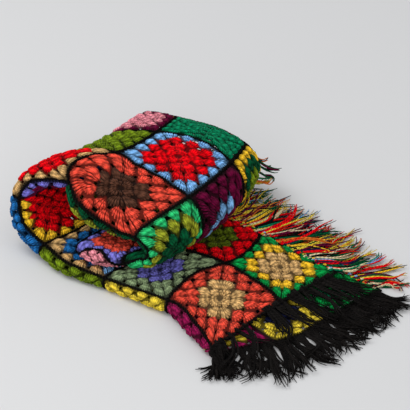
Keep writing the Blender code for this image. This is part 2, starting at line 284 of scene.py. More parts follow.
# %% The yarn colours
DYES = {
    "coral": (228, 78, 58), "brown": (84, 52, 38), "red": (228, 2, 16), "sky": (124, 178, 228),
    "olive": (110, 134, 22), "moss": (88, 104, 18), "pink": (226, 138, 150),
    "maroon": (96, 6, 48), "teal": (4, 126, 84), "gold": (240, 192, 44),
    "yellow": (226, 200, 60), "pine": (2, 78, 44), "spring": (44, 190, 112),
    "lime": (142, 150, 38), "blue": (30, 104, 168), "tan": (206, 166, 108),
    "periwinkle": (118, 114, 200), "sage": (136, 154, 114), "raspberry": (150, 22, 80),
    "emerald": (6, 146, 66), "black": (12, 10, 9), "cream": (226, 208, 166),
    "navy": (22, 26, 62), "purple": (92, 40, 110), "orange": (226, 118, 40),
}


def plain_light(name):
    """A dye as linear light, the way the shaders count it."""
    share = np.array(DYES[name]) / 255
    return np.where(share <= 0.04045, share / 12.92, ((share + 0.055) / 1.055) ** 2.4)


LIGHT = {name: plain_light(name) for name in DYES}
print(len(LIGHT), "dyes")

# %% [markdown]
# The chart of the squares. A granny square is worked from its middle outwards in rounds, and
# a new colour starts with a new round. Each square below lists its four rounds from the
# middle out. A few rounds ran out of yarn and were finished in another colour on one side.

# %% The chart of the squares
CHART = (
    ("emerald teal emerald emerald", "navy navy yellow yellow",
     "maroon raspberry raspberry raspberry", "tan tan coral coral", "tan tan gold emerald"),
    ("red red cream navy", "coral coral sky sky", "olive yellow yellow yellow",
     "periwinkle periwinkle sage sage", "moss moss red red"),
    ("teal teal gold brown", "pink pink maroon maroon", "tan olive olive olive",
     "yellow blue blue tan", "cream cream blue navy"),
    ("orange orange pine pine", "sage sage purple purple", "gold blue blue blue",
     "red red red gold", "pink raspberry raspberry maroon"),
    ("pink pink pink maroon", "olive olive olive olive", "red red red tan",
     "maroon maroon maroon periwinkle", "sky sky navy navy"),
    ("teal teal teal teal", "red red red sky", "brown brown coral coral",
     "pine pine lime pine", "gold gold orange orange"),
    ("olive olive pine gold", "maroon maroon maroon maroon", "pine pine lime spring",
     "gold olive olive pine", "tan tan brown brown"),
    ("cream cream red red", "blue blue teal teal", "pink pink pink pink",
     "coral coral coral periwinkle", "periwinkle sky sky navy"),
)
SIDES = {"next row": 0, "next column": 1, "row before": 2, "column before": 3}
OTHER_SIDES = {
    (0, 2): ((2, "row before", "navy"), (3, "row before", "yellow")),
    (6, 1): ((2, "row before", "sky"), (2, "next column", "sky")),
    (2, 3): ((3, "row before", "sky"), (4, "row before", "sky")),
    (3, 3): ((4, "next row", "red"),),
    (4, 3): ((4, "row before", "maroon"), (4, "next column", "maroon")),
}


def square_dyes(row, column):
    """The dyes of one square: a list of four sides for each of its four rounds."""
    rounds = [[name] * 4 for name in CHART[row][column].split()]
    for number, side, name in OTHER_SIDES.get((row, column), ()):
        rounds[number - 1][SIDES[side]] = name
    return rounds


print(sum(len(row) for row in CHART), "squares in the chart")

# %% [markdown]
# How one granny square is built up. Each round is a row of clusters, and a cluster is a few
# tall stitches that start together in the round below and fan out like a shell. The top of a
# shell is round, and the shells of the next round dig down between the tops, so two colours
# meet in scallops. The first rounds lie in a circle and the last one is square. Small holes
# open by themselves where the shells part. All of this is worked out once as flat lines.

# %% The measures of one square
PITCH = 130.0
# In shares of the square's side: the width of a ring, the end of each round, the open eye.
ROUNDS = 4
RING = 0.1195
REACHES = np.array((0.0, 0.33, 0.62, 0.845, 1.0)) * RING * ROUNDS
EYE = 0.030
# A cluster: how much of its room its top and its base take, how soon it fans out, and how far
# the bases keep apart compared with the tops.
TOP_SPREAD = 0.79
BASE_SPREAD = 0.25
EYE_SPREAD = 0.9
FAN_POWER = 0.8
LEAN = 1.08
# In shares of a ring: how far the sides of a top fall back in each round, and how deep a base
# digs into the round below, less at its sides. Both are less at the corners of outer rounds.
LOBES = (0.50, 0.50, 0.48, 0.20)
DIG = 0.40
DIG_FALL = 0.6
CORNER = 0.6
# Inside the first share of the square the pattern is round, and at its edge nearly square.
ROUND_PART = 0.25
SQUARE_PART = 0.95
INSIDE = 0.98


def rounded(x, y):
    """Moves points of one side of the pattern, so that the inner rounds lie in circles."""
    out = np.clip((y / REACHES[-1] - ROUND_PART) / (1 - ROUND_PART), 0, 1)
    square = SQUARE_PART * out ** 2
    angle = np.clip(x / np.maximum(y, 1e-9), -1, 1) * math.pi / 4
    return (square * x + (1 - square) * y * np.sin(angle),
            square * y + (1 - square) * y * np.cos(angle))


print("rounds end", [round(float(reach * PITCH), 1) for reach in REACHES[1:]], "mm out")

# %% The pattern of one square
def stitch_of(number, cluster, spread, fan, levels):
    """The line of one upright stitch on one side of the square."""
    outer = REACHES[number]
    inner = REACHES[number - 1] if number > 1 else EYE
    base_reach = RING * BASE_SPREAD if number > 1 else EYE * EYE_SPREAD
    middle = ((2 * cluster + 1) / number - 1) * outer
    top = middle + spread * outer / number * TOP_SPREAD
    base = middle * inner / outer * LEAN + spread * base_reach
    base = np.clip(base, -inner * INSIDE, inner * INSIDE)
    dig, lobe = DIG * (number > 1), LOBES[number - 1]
    towards_corner = spread * (cluster - (number - 1) / 2)
    if number > 2 and cluster in (0, number - 1) and towards_corner > 0:
        dig, lobe = dig * CORNER, lobe * CORNER
    start = inner - RING * dig * (1 - DIG_FALL * spread ** 2)
    end = outer - RING * lobe * spread ** 2
    half = base_reach + (outer / number * TOP_SPREAD - base_reach) * fan
    return rounded(base + (top - base) * fan, start + (end - start) * levels), half


def square_pattern(posts, levels):
    """The upright stitches of one square: lines, half widths, rounds, sides and spreads."""
    lines, halves, rounds, sides, spreads = [], [], [], [], []
    fan = levels ** FAN_POWER
    for number in range(1, ROUNDS + 1):
        for cluster in range(number):
            for post in range(posts):
                spread = (2 * post + 1) / posts - 1
                (x, y), half = stitch_of(number, cluster, spread, fan, levels)
                for side, place in enumerate(((x, y), (y, -x), (-x, -y), (-y, x))):
                    lines.append(np.stack(place, -1))
                    halves.append(half / posts * PITCH)
                    rounds.append(number)
                    sides.append(side)
                    spreads.append(spread)
    return [np.array(found) for found in (lines, halves, rounds, sides, spreads)]


print(len(square_pattern(6, np.linspace(0, 1, 7))[0]), "upright stitches in a square")

# %% [markdown]
# Every stitch, join and fringe strand is a length of yarn, so one small tube serves them all.
# The tube is modelled once with mesh operators: a cylinder whose long edges are cut into
# rings. Its copies are bent along their own lines with array arithmetic, which makes one
# joined mesh in a moment, where thousands of separate objects would take minutes.

# %% The yarn tube
FLOOR_CLEAR = 0.0002


def yarn_tube(sides, rings):
    """A closed tube: its corners round the ring, the ring of each point, and its triangles."""
    bm = bmesh.new()
    bmesh.ops.create_cone(bm, cap_ends=True, segments=sides, radius1=1, radius2=1, depth=1)
    upright = [edge for edge in bm.edges if abs(edge.verts[0].co.z - edge.verts[1].co.z) > 0.5]
    bmesh.ops.subdivide_edges(bm, edges=upright, cuts=rings - 2, use_grid_fill=True)
    bmesh.ops.triangulate(bm, faces=bm.faces)
    bm.verts.index_update()
    points = np.array([vert.co for vert in bm.verts])
    faces = np.array([[vert.index for vert in face.verts] for face in bm.faces])
    bm.free()
    turn = np.arctan2(points[:, 1], points[:, 0]) / (2 * math.pi) % 1
    level = np.round((points[:, 2] + 0.5) * (rings - 1)).astype(int)
    turns = turn[faces]
    turns += (turns < 0.5) & (turns.max(1, keepdims=True) - turns > 0.5)
    return {"turn": turn, "level": level, "faces": faces, "turns": turns, "rings": rings}


def swept(tube, lines, ups, widths, thicks):
    """The points of one tube along each line, with its own half width and half thickness."""
    ahead = unit(np.gradient(lines, axis=1))
    aside = unit(np.cross(ups, ahead))
    over = np.cross(ahead, aside)
    level, angle = tube["level"], 2 * math.pi * tube["turn"]
    points = lines[:, level]
    points = points + aside[:, level] * (np.cos(angle) * widths[:, level] * MM)[..., None]
    points = points + over[:, level] * (np.sin(angle) * thicks[:, level] * MM)[..., None]
    points[..., 2] = np.maximum(points[..., 2], FLOOR_CLEAR)
    return points


STITCH_TUBE = yarn_tube(6, 7)
PLAIN_TUBE = yarn_tube(6, 5)
print("a stitch has", len(STITCH_TUBE["faces"]), "triangles, a hidden one",
      len(PLAIN_TUBE["faces"]))

# %% [markdown]
# Many bent tubes then become one mesh. Added one by one they would take minutes, so their
# points and triangles are joined as arrays and handed over at once. Each point keeps its dye,
# with any painted shade, as a colour attribute. The UV map goes once round the yarn across,
# and along it counts the turns of its twist.

# %% One mesh from many tubes
def yarn_mesh(name, parts):
    """One joined mesh from (tube, points, dyes, lengths) parts, with colours and a UV map. The
    dyes may carry painted shade.
    """
    places, faces, dyes, wraps, count = [], [], [], [], 0
    for tube, points, colours, lengths in parts:
        number, size = points.shape[:2]
        places.append(points.reshape(-1, 3))
        starts = count + size * np.arange(number)
        faces.append((tube["faces"][None] + starts[:, None, None]).reshape(-1, 3))
        if colours.ndim == 2:
            colours = np.repeat(colours[:, None], size, axis=1)
        dyes.append(colours.reshape(-1, 3))
        along = tube["level"][tube["faces"]] / (tube["rings"] - 1)
        turns = np.broadcast_to(tube["turns"], (number,) + tube["turns"].shape)
        wraps.append(np.stack([turns, along[None] * lengths[:, None, None]], -1).reshape(-1, 2))
        count += number * size
    mesh = bpy.data.meshes.new(name)
    mesh.from_pydata(np.concatenate(places), [], np.concatenate(faces))
    paint = mesh.color_attributes.new("yarn_colour", "FLOAT_COLOR", "POINT")
    full = np.ones((count, 4), dtype=np.float32)
    full[:, :3] = np.concatenate(dyes)
    paint.data.foreach_set("color", full.ravel())
    wrap = mesh.uv_layers.new(name="yarn_wrap")
    wrap.uv.foreach_set("vector", np.concatenate(wraps).astype(np.float32).ravel())
    mesh.shade_smooth()
    thing = bpy.data.objects.new(name, mesh)
    bpy.context.scene.collection.objects.link(thing)
    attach(thing, "root")
    return thing


print("a stitch adds", len(STITCH_TUBE["level"]), "points to its mesh")

# %% [markdown]
# The finish of the wool. Yarn is two or more plies twisted together, with a halo of short
# fibres, so it has fine slanting grooves, it is rough, and its colour is never quite even.
# The grooves are also drawn into the colour as painted shade.
# One node group makes these for all the yarns: it takes the dye and gives back a colour, a
# roughness and a height. The twist follows the yarn's own UV map, and the fibres follow the
# object's coordinates. Its sums are many small Math nodes, so a helper makes each in one line.

# %% Helpers for shader nodes
def joined(tree, value, socket):
    """Links a node's output to a socket, or writes a plain number there."""
    if isinstance(value, (int, float)):
        socket.default_value = value
    else:
        tree.links.new(value, socket)


def worked(tree, operation, *values):
    """The result of one Math node."""
    node = tree.nodes.new("ShaderNodeMath")
    node.operation = operation
    for value, socket in zip(values, node.inputs):
        joined(tree, value, socket)
    return node.outputs[0]


def noise(tree, place, scale, detail):
    node = tree.nodes.new("ShaderNodeTexNoise")
    node.inputs["Scale"].default_value = scale
    node.inputs["Detail"].default_value = detail
    tree.links.new(place, node.inputs["Vector"])
    return node.outputs["Fac"]


def mapped(tree, value, low, high, to_low, to_high):
    """A value moved from one range to another."""
    node = tree.nodes.new("ShaderNodeMapRange")
    for name, bound in (("From Min", low), ("From Max", high),
                        ("To Min", to_low), ("To Max", to_high)):
        node.inputs[name].default_value = bound
    tree.links.new(value, node.inputs["Value"])
    return node.outputs[0]


print("helpers:", [helper.__name__ for helper in (joined, worked, noise, mapped)])

# %% The wool node group
FIBRE_SCALE, PATCH_SCALE = 520, 210
# How much the twisted plies count beside the fibres, in the height and in the painted shade of
# their grooves.
PLY_HEIGHT, PLY_PAINTED_SHADE = 0.30, 0.22
# Ranges that come in and go out: the unevenness, with the painted ply shade, to a shade of the
# dye, the fibres to a roughness.
SHADE_RANGES = (0.22, 0.78, 0.40, 1.56)
ROUGH_RANGES = (0, 1, 0.78, 0.98)
WOOL_INPUTS = (("Dye", "NodeSocketColor", (0.5, 0.5, 0.5, 1)),
               ("Unevenness", "NodeSocketFloat", 0.35), ("Twist", "NodeSocketFloat", 2.0))
WOOL_OUTPUTS = (("Colour", "NodeSocketColor"), ("Roughness", "NodeSocketFloat"),
                ("Height", "NodeSocketFloat"))


def make_wool_group():
    tree = bpy.data.node_groups.new("wool_yarn", "ShaderNodeTree")
    for name, kind, value in WOOL_INPUTS:
        tree.interface.new_socket(name, in_out="INPUT", socket_type=kind).default_value = value
    for name, kind in WOOL_OUTPUTS:
        tree.interface.new_socket(name, in_out="OUTPUT", socket_type=kind)
    given, result = tree.nodes.new("NodeGroupInput"), tree.nodes.new("NodeGroupOutput")
    where = tree.nodes.new("ShaderNodeTexCoord").outputs["Object"]
    fibres, patches = noise(tree, where, FIBRE_SCALE, 4), noise(tree, where, PATCH_SCALE, 2)
    wrap, split = tree.nodes.new("ShaderNodeUVMap"), tree.nodes.new("ShaderNodeSeparateXYZ")
    wrap.uv_map = "yarn_wrap"
    joined(tree, wrap.outputs["UV"], split.inputs[0])
    slant = worked(tree, "MULTIPLY_ADD", split.outputs["X"], given.outputs["Twist"],
                   split.outputs["Y"])
    plies = worked(tree, "COSINE", worked(tree, "MULTIPLY", slant, 2 * math.pi))
    joined(tree, worked(tree, "MULTIPLY_ADD", plies, PLY_HEIGHT, fibres), result.inputs["Height"])
    uneven = worked(tree, "MULTIPLY_ADD", fibres, 0.5, worked(tree, "MULTIPLY", patches, 0.5))
    # Painted shade: the ply grooves darken the colour and their ridges lighten it, besides their
    # bump.
    uneven = worked(tree, "MULTIPLY_ADD", plies, PLY_PAINTED_SHADE, uneven)
    tint = tree.nodes.new("ShaderNodeVectorMath")
    tint.operation = "SCALE"
    joined(tree, given.outputs["Dye"], tint.inputs[0])
    joined(tree, mapped(tree, uneven, *SHADE_RANGES), tint.inputs["Scale"])
    mix = tree.nodes.new("ShaderNodeMix")
    mix.data_type = "RGBA"
    joined(tree, given.outputs["Unevenness"], mix.inputs["Factor"])
    joined(tree, given.outputs["Dye"], mix.inputs["A"])
    joined(tree, tint.outputs["Vector"], mix.inputs["B"])
    joined(tree, mix.outputs["Result"], result.inputs["Colour"])
    joined(tree, mapped(tree, fibres, *ROUGH_RANGES), result.inputs["Roughness"])
    return tree


WOOL = make_wool_group()
print("wool group with", len(WOOL.nodes), "nodes")

# %% [markdown]
# Each yarn is a Principled shader fed by that group. The dye comes from the mesh's own colours,
# which on the stitches and the sheet under them also carry painted shade, so one material serves
# all the colours of the stitches. Wool hardly shines, so the specular level and the sheen are
# kept low, or the black yarn would look grey.

# %% The wool finishes
BUMP_DISTANCE = 0.0011
SHINE = 0.05
SHEEN_ROUGHNESS = 0.45


def wool_material(name, unevenness, twist, bump, sheen):
    """A yarn finish that takes its dye from the mesh's own colours."""
    material = bpy.data.materials.new(name)
    material.use_nodes = True
    tree = material.node_tree
    shader = tree.nodes["Principled BSDF"]
    dye = tree.nodes.new("ShaderNodeAttribute")
    dye.attribute_name = "yarn_colour"
    wool = tree.nodes.new("ShaderNodeGroup")
    wool.node_tree = WOOL
    wool.inputs["Unevenness"].default_value = unevenness
    wool.inputs["Twist"].default_value = twist
    joined(tree, dye.outputs["Color"], wool.inputs["Dye"])
    joined(tree, wool.outputs["Colour"], shader.inputs["Base Color"])
    joined(tree, wool.outputs["Roughness"], shader.inputs["Roughness"])
    relief = tree.nodes.new("ShaderNodeBump")
    relief.inputs["Strength"].default_value = bump
    relief.inputs["Distance"].default_value = BUMP_DISTANCE
    joined(tree, wool.outputs["Height"], relief.inputs["Height"])
    joined(tree, relief.outputs["Normal"], shader.inputs["Normal"])
    shader.inputs["Specular IOR Level"].default_value = SHINE
    shader.inputs["Sheen Weight"].default_value = sheen
    shader.inputs["Sheen Roughness"].default_value = SHEEN_ROUGHNESS
    return material


STITCH_WOOL = wool_material("crochet_wool", 0.9, 1.0, 0.8, 0.03)
JOIN_WOOL = wool_material("black_joining_wool", 0.8, 1.0, 0.9, 0.01)
FRINGE_WOOL = wool_material("fringe_wool", 0.8, 2.0, 0.9, 0.01)
print("wool finishes:", STITCH_WOOL.name, JOIN_WOOL.name, FRINGE_WOOL.name)

# %% [markdown]
# The upright stitches of all forty squares. Hand crochet is never exact, so each square is
# turned a little, and each stitch sits and takes the dye a little differently. Towards the
# sides of a cluster the stitches lie lower, and painted shade darkens them, which parts it from
# the next one. Painted shade also darkens the base of every stitch, where it sinks between the
# others.
# Squares that face the floor or the inside of the roll get fewer and plainer stitches. Past
# the upper layer's end three squares show their wrong side, so there the stitches stand on
# that side. The stitches of one row of squares make one piece.

# %% Crochet the squares
HIDDEN = {(row, column) for row in (1, 2, 3) for column in (0, 1)}
HIDDEN |= {(7, column) for column in range(COLUMNS)} | {(6, 4), (5, 4), (4, 4), (2, 4)}
TURNED = {(0, 0), (0, 1), (0, 2)}
POSTS, PLAIN_POSTS = 6, 3
# Along a stitch from its base to its top: its height in mm, how full it is, and the painted shade
# on its dye, darkest at the base where it sinks between the others and a little darker at its tip.
SPOTS = np.linspace(0, 1, 7)
HEIGHTS = np.interp(SPOTS, (0, 0.2, 0.5, 0.8, 1), (-1.6, -0.4, 1.2, 1.7, 0.3))
FULLNESS = np.array((0.60, 0.90, 0.94, 0.92, 0.95, 1.0, 0.60))
PAINTED_SHADES = np.array((0.40, 0.66, 0.90, 1.0, 1.04, 1.06, 0.90))
STITCH_THICK = 2.5
LEAST_HALF, OVERLAP = 0.9, 1.06
# At the sides of a cluster: how much lower in mm, and how much painted shade darkens it, for the
# shadow between clusters.
SIDE_DROP, SIDE_PAINTED_SHADE = 1.3, 0.7
STITCH_TURNS = 2.6
# How unevenly it is made: the turn of a square, in radians, then the place of a stitch in
# shares of the square, its height in mm, its fullness and its dye, with the dye's limits.
TURN_ERROR, PLACE_ERROR = 0.012, 0.0024
LIFT_ERROR, FULL_ERROR, DYE_ERROR, DYE_LIMITS = 0.3, 0.05, 0.12, (0.7, 1.35)
rng = np.random.default_rng(11)


def crochet_square(row, column):
    """One square as a part for yarn_mesh."""
    plain = (row, column) in HIDDEN
    tube = PLAIN_TUBE if plain else STITCH_TUBE
    levels = np.linspace(0, 1, tube["rings"])
    lines, halves, rounds, sides, spreads = square_pattern(PLAIN_POSTS if plain else POSTS, levels)
    rim = spreads[:, None] ** 2
    count = len(lines)
    turn = rng.normal(0, TURN_ERROR)
    lines = lines + rng.normal(0, PLACE_ERROR, (count, 1, 2))
    across = lines[..., 0] + turn * lines[..., 1]
    down = lines[..., 1] - turn * lines[..., 0]
    lift = np.interp(levels, SPOTS, HEIGHTS) + rng.normal(0, LIFT_ERROR, (count, 1))
    lift = lift - SIDE_DROP * rim
    if (row, column) in TURNED:
        lift = -lift
    full = np.interp(levels, SPOTS, FULLNESS) * rng.normal(1, FULL_ERROR, (count, 1))
    points, ups = on_cloth(row + 0.5 + down, column + 0.5 + across, lift)
    body = swept(tube, points, ups, np.maximum(halves, LEAST_HALF) * OVERLAP * full,
                 np.full_like(halves, STITCH_THICK) * full)
    dyes = square_dyes(row, column)
    colours = np.array([LIGHT[dyes[n - 1][s]] for n, s in zip(rounds, sides)])
    colours = colours * np.clip(rng.normal(1, DYE_ERROR, (count, 1)), *DYE_LIMITS)
    # Painted shade: the sides of each cluster are darkened for the shadow between it and the next.
    colours = colours * (1 - SIDE_PAINTED_SHADE * rim ** 2)
    # Painted shade along each stitch: darkest at its base, where it sinks between the others.
    painted_shade = np.interp(levels, SPOTS, PAINTED_SHADES)[tube["level"]]
    return (tube, body, colours[:, None] * painted_shade[None, :, None],
            np.full(count, STITCH_TURNS))


for row in range(ROWS):
    piece = yarn_mesh(f"stitches_row_{row + 1}",
                      [crochet_square(row, column) for column in range(COLUMNS)])
    piece.data.materials.append(STITCH_WOOL)
    print(piece.name, len(piece.data.polygons), "triangles")

# %% [markdown]
# The cloth under the stitches. Between the uprights of real crochet there are the loops and
# chains that they are worked into. A thin sheet on the middle of the cloth stands for them.
# It is one grid in the colours of the rounds, darkened by painted shade so that it reads as the
# depth between the stitches, and its cells are taken out wherever no stitch is near, so the larger
# holes go right through.

# %% How near the stitches are
CELLS = 24
HOLE_REACH = 1.45
# Painted shade: the sheet's dyes are darkened to read as the depth between the stitches.
GROUND_PAINTED_SHADE = 0.11
HOLE_RIM = 0.02


def nearest_stitch(x, y):
    """For places in a square: how far the nearest stitch's side is, in mm, and which it is."""
    lines, halves, rounds, sides = square_pattern(POSTS, np.linspace(0, 1, 9))[:4]
    gaps = np.hypot(x[:, None, None] - lines[None, ..., 0], y[:, None, None] - lines[None, ..., 1])
    closest = (gaps * PITCH - halves[None]).min(2)
    best = closest.argmin(1)
    return closest.min(1), rounds[best], sides[best]


def in_square(flat):
    """For points of a unit grid: row and column, the square they are in, and where in it."""
    row, column = (flat[:, 1] + 0.5) * ROWS, (flat[:, 0] + 0.5) * COLUMNS
    home_row = np.minimum(row.astype(int), ROWS - 1)
    home_column = np.minimum(column.astype(int), COLUMNS - 1)
    home = list(zip(home_row, home_column))
    return row, column, home, column - home_column - 0.5, row - home_row - 0.5


def ground_colour(flat):
    """The colour under the stitches: each round's own dye darkened by painted shade, and black at
    the joins.
    """
    home, x, y = in_square(flat)[2:]
    rounds, sides = nearest_stitch(x, y)[1:]
    charts = {square: square_dyes(*square) for square in set(home)}
    colours = np.array([LIGHT[charts[square][number - 1][side]]
                        for square, number, side in zip(home, rounds, sides)]) * GROUND_PAINTED_SHADE
    colours[np.maximum(np.abs(x), np.abs(y)) > REACHES[-1]] = LIGHT["black"]
    return colours


print("cells on a square:", CELLS * CELLS, "each", round(PITCH / CELLS, 1), "mm wide")

# %% The ground sheet
SHEET_THICK = 1.2
SHEET_LEVEL = -0.6


def make_ground():
    bm = bmesh.new()
    bmesh.ops.create_grid(bm, x_segments=COLUMNS * CELLS, y_segments=ROWS * CELLS, size=0.5)
    x, y = in_square(np.array([face.calc_center_median() for face in bm.faces]))[3:]
    inside = np.maximum(np.abs(x), np.abs(y)) < REACHES[-1] - HOLE_RIM
    gone = (nearest_stitch(x, y)[0] > HOLE_REACH) & inside
    print("ground cells", len(bm.faces), "and holes", int(gone.sum()))
    holes = [face for face, cut in zip(bm.faces, gone) if cut]
    bmesh.ops.delete(bm, geom=holes, context="FACES")
    flat = np.array([vert.co for vert in bm.verts])
    row, column = in_square(flat)[:2]
    places = on_cloth(row, column, np.full(len(row), SHEET_LEVEL))[0]
    for vert, place in zip(bm.verts, places):
        vert.co = place
    mesh = bpy.data.meshes.new("cloth_sheet")
    bm.to_mesh(mesh)
    bm.free()
    paint = mesh.color_attributes.new("yarn_colour", "FLOAT_COLOR", "POINT")
    full = np.ones((len(flat), 4), dtype=np.float32)
    full[:, :3] = ground_colour(flat)
    paint.data.foreach_set("color", full.ravel())
    mesh.shade_smooth()
    return mesh


ground = bpy.data.objects.new("cloth_sheet", make_ground())
bpy.context.scene.collection.objects.link(ground)
wall = ground.modifiers.new("thickness", "SOLIDIFY")
wall.thickness = SHEET_THICK * MM
wall.offset = 0.0
ground.data.materials.append(STITCH_WOOL)
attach(ground, "root")
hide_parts("blanket")

# %% [markdown]
# The black joins. The squares are sewn edge to edge with black yarn, and the same yarn goes
# round the whole blanket. On the real one it shows as a narrow dark cord with many short
# slanting stitches over it, which bite into the coloured edges. The cord and the stitches
# are tubes again, on the same surface. Along the edge of the blanket they wrap round it.

# %% The lines of the joins
CORD_LIFT, CORD_WAVE, CORD_WAVES = 0.9, 0.3, 40
WHIPS = 22
WHIP_REACH = 3.2
WHIP_SLANT = 0.011
WHIP_LIFTS = np.array((0.2, 1.9, 2.6, 1.9, 0.2))
WRAP_LIFTS = np.array((1.8, 2.2, 0.4, -1.8, -1.6))
WRAP_SHARE = 0.6
# How unevenly they are sewn: the place, the slant and the reach of a stitch.
WHIP_ERROR, SLANT_ERROR, REACH_ERROR = 0.004, 0.003, 0.12
CORD_TUBE = yarn_tube(5, 33)
WHIP_TUBE = yarn_tube(5, 5)


def seams():
    """Each seam between squares or along the edge: where it starts, its way, and its kind."""
    for row in range(ROWS + 1):
        for column in range(COLUMNS):
            yield row, column, 0.0, 1.0, (row == ROWS) - (row == 0)
    for column in range(COLUMNS + 1):
        for row in range(ROWS):
            yield row, column, 1.0, 0.0, (column == COLUMNS) - (column == 0)


def cord_lines():
    """The cord along each seam, and the way that the cloth faces under it."""
    along = np.linspace(0, 1, CORD_TUBE["rings"])
    lift = CORD_LIFT + CORD_WAVE * np.sin(along * CORD_WAVES)
    found = [on_cloth(row + along * down, column + along * right, lift)
             for row, column, down, right, _ in seams()]
    return [np.array(side) for side in zip(*found)]


def whip_lines():
    """The short stitches over each cord, and the way that the cloth faces under them."""
    found = []
    for row, column, down, right, rim in seams():
        start = (np.arange(WHIPS) + 0.5) / WHIPS + rng.normal(0, WHIP_ERROR, WHIPS)
        slant = np.linspace(-WHIP_SLANT, WHIP_SLANT, 5) + rng.normal(0, SLANT_ERROR, (WHIPS, 1))
        run = start[:, None] + slant
        out = np.linspace(-1, 1, 5) * WHIP_REACH * rng.normal(1, REACH_ERROR, (WHIPS, 1)) / PITCH
        lift = WHIP_LIFTS
        if rim:
            out = -rim * np.abs(out) * np.where(out * rim > 0, WRAP_SHARE, 1)
            lift = WRAP_LIFTS
        found.append(on_cloth(row + run * down + out * right, column + run * right + out * down,
                              np.broadcast_to(lift, out.shape)))
    return [np.concatenate(side) for side in zip(*found)]


print(len(list(seams())), "seams with", WHIPS, "stitches over each")

# %% Sew the squares together
CORD_HALF, WHIP_HALF = 1.3, 0.85
CORD_TURNS, WHIP_TURNS = 22.0, 1.5
WHIP_SHADES = (0.7, 1.5)


def sewn(tube, lines, ups, half, dyes, turns):
    """Sewing yarn of one thickness as a part for yarn_mesh."""
    width = np.full(lines.shape[:2], half)
    return tube, swept(tube, lines, ups, width, width), dyes, np.full(len(lines), turns)


cord, whip = cord_lines(), whip_lines()
black = np.repeat(LIGHT["black"][None], len(cord[0]), 0)
shaded = LIGHT["black"][None] * rng.uniform(*WHIP_SHADES, (len(whip[0]), 1))
joins = yarn_mesh("black_joins", [sewn(CORD_TUBE, *cord, CORD_HALF, black, CORD_TURNS),
                                  sewn(WHIP_TUBE, *whip, WHIP_HALF, shaded, WHIP_TURNS)])
joins.data.materials.append(JOIN_WOOL)
print("joins have", len(joins.data.polygons), "triangles")

# %% [markdown]
# The fringe. Along the short end hang thick black locks, and along both long edges go locks
# of leftover yarn in many colours. The locks follow those of the solids. Each one needs its
# place on the edge and three directions there: along the edge, off the cloth, and up from it.
# They could be typed in as angles, but then they would miss the folds. So they are measured
# on the folded surface, from places a little inside the edge and to both sides.

# %% Places along an edge
def edge_frames(edge, stops):
    """Places on an edge, the way along it, the way off the cloth, and the cloth's own up."""
    fixed = np.zeros_like(stops)
    if edge == "end":
        here, inside = cloth_middle(fixed, stops), cloth_middle(fixed + PROBE, stops)
        before, after = cloth_middle(fixed, stops - PROBE), cloth_middle(fixed, stops + PROBE)
    else:
        side = 0.0 if edge == "outer side" else float(COLUMNS)
        inward = PROBE if edge == "outer side" else -PROBE
        fixed = fixed + side
        here, inside = cloth_middle(stops, fixed), cloth_middle(stops, fixed + inward)
        before, after = cloth_middle(stops - PROBE, fixed), cloth_middle(stops + PROBE, fixed)
    forward = unit(after - before)
    up = unit(np.cross(here - inside, forward))
    return here, forward, np.cross(forward, up), up


off_end = edge_frames("end", np.array([0.5, COLUMNS - 0.5]))[2]
print("off the black end, below and on top:", np.round(off_end, 2).tolist())

# %% [markdown]
# A rule for each fringe says how its locks lie: the angle on the floor in degrees, the length,
# and the height at which the tips rest, both in millimetres. The locks fan out where the
# cloth's corner lets them, and lie shorter where the roll presses on them. A little wobble
# from lock to lock keeps them from lying like a comb.

# %% How the locks of each fringe lie
UPPER_REST = 7.6
END_LENGTH, CORNER_LENGTH, SIDE_LENGTH, ROLL_LENGTH = 88, 54, 92, 66
SIDE_ANGLE, ROLL_ANGLE = 70, 82


def wobble(count, size):
    return size * (np.sin(2.4 * count) + 0.6 * np.sin(5.9 * count + 1.0))


def end_top_lie(share, count, root_z):
    angle = -48 * (1 - share) ** 2 + wobble(count, 1.6)
    return angle, END_LENGTH * (1 + wobble(count, 0.05)), UPPER_REST + 0 * root_z


def end_lower_lie(share, count, root_z):
    reach = np.interp(share, (0, 0.2, 0.5, 0.78, 0.9, 1), (0.66, 0.9, 1, 1.15, 0.85, 0.78))
    angle = -64 * share ** 2 + wobble(count, 1.6)
    return angle, END_LENGTH * reach * (1 + wobble(count, 0.05)), 0 * root_z


def corner_lie(share, count, root_z):
    return -60 + 12 * share, CORNER_LENGTH * (1 + wobble(count, 0.05)), 0 * root_z


def side_top_lie(share, count, root_z):
    angle = SIDE_ANGLE - 50 * np.maximum(0, 1 - share / 0.35) ** 2 + wobble(count, 1.6)
    shorter = 1 - 0.35 * np.maximum(0, 1 - share / 0.25)
    return angle, SIDE_LENGTH * shorter * (1 + wobble(count, 0.05)), UPPER_REST + 0 * root_z


def side_lower_lie(share, count, root_z):
    angle, length, rest = side_top_lie(share, count, root_z)
    return angle, length, rest * 0


def roll_length(share, count):
    return ROLL_LENGTH * (1 - 0.3 * ease(share / 0.4)) * (1 + wobble(count, 0.04))


def roll_outer_lie(share, count, root_z):
    return ROLL_ANGLE + 0 * share, roll_length(share, count), root_z * 0.5


def roll_inner_lie(share, count, root_z):
    turning = bell((share - 0.7) / 0.15)
    rest = root_z * (1 - 0.2 * ease((root_z - 55) / 55)) - 4
    return ROLL_ANGLE + 22 * turning, roll_length(share, count) * (1 - 0.45 * turning), rest


print("locks up to", END_LENGTH, "mm at the end,", SIDE_LENGTH, "mm at the sides and",
      ROLL_LENGTH, "mm on the roll")

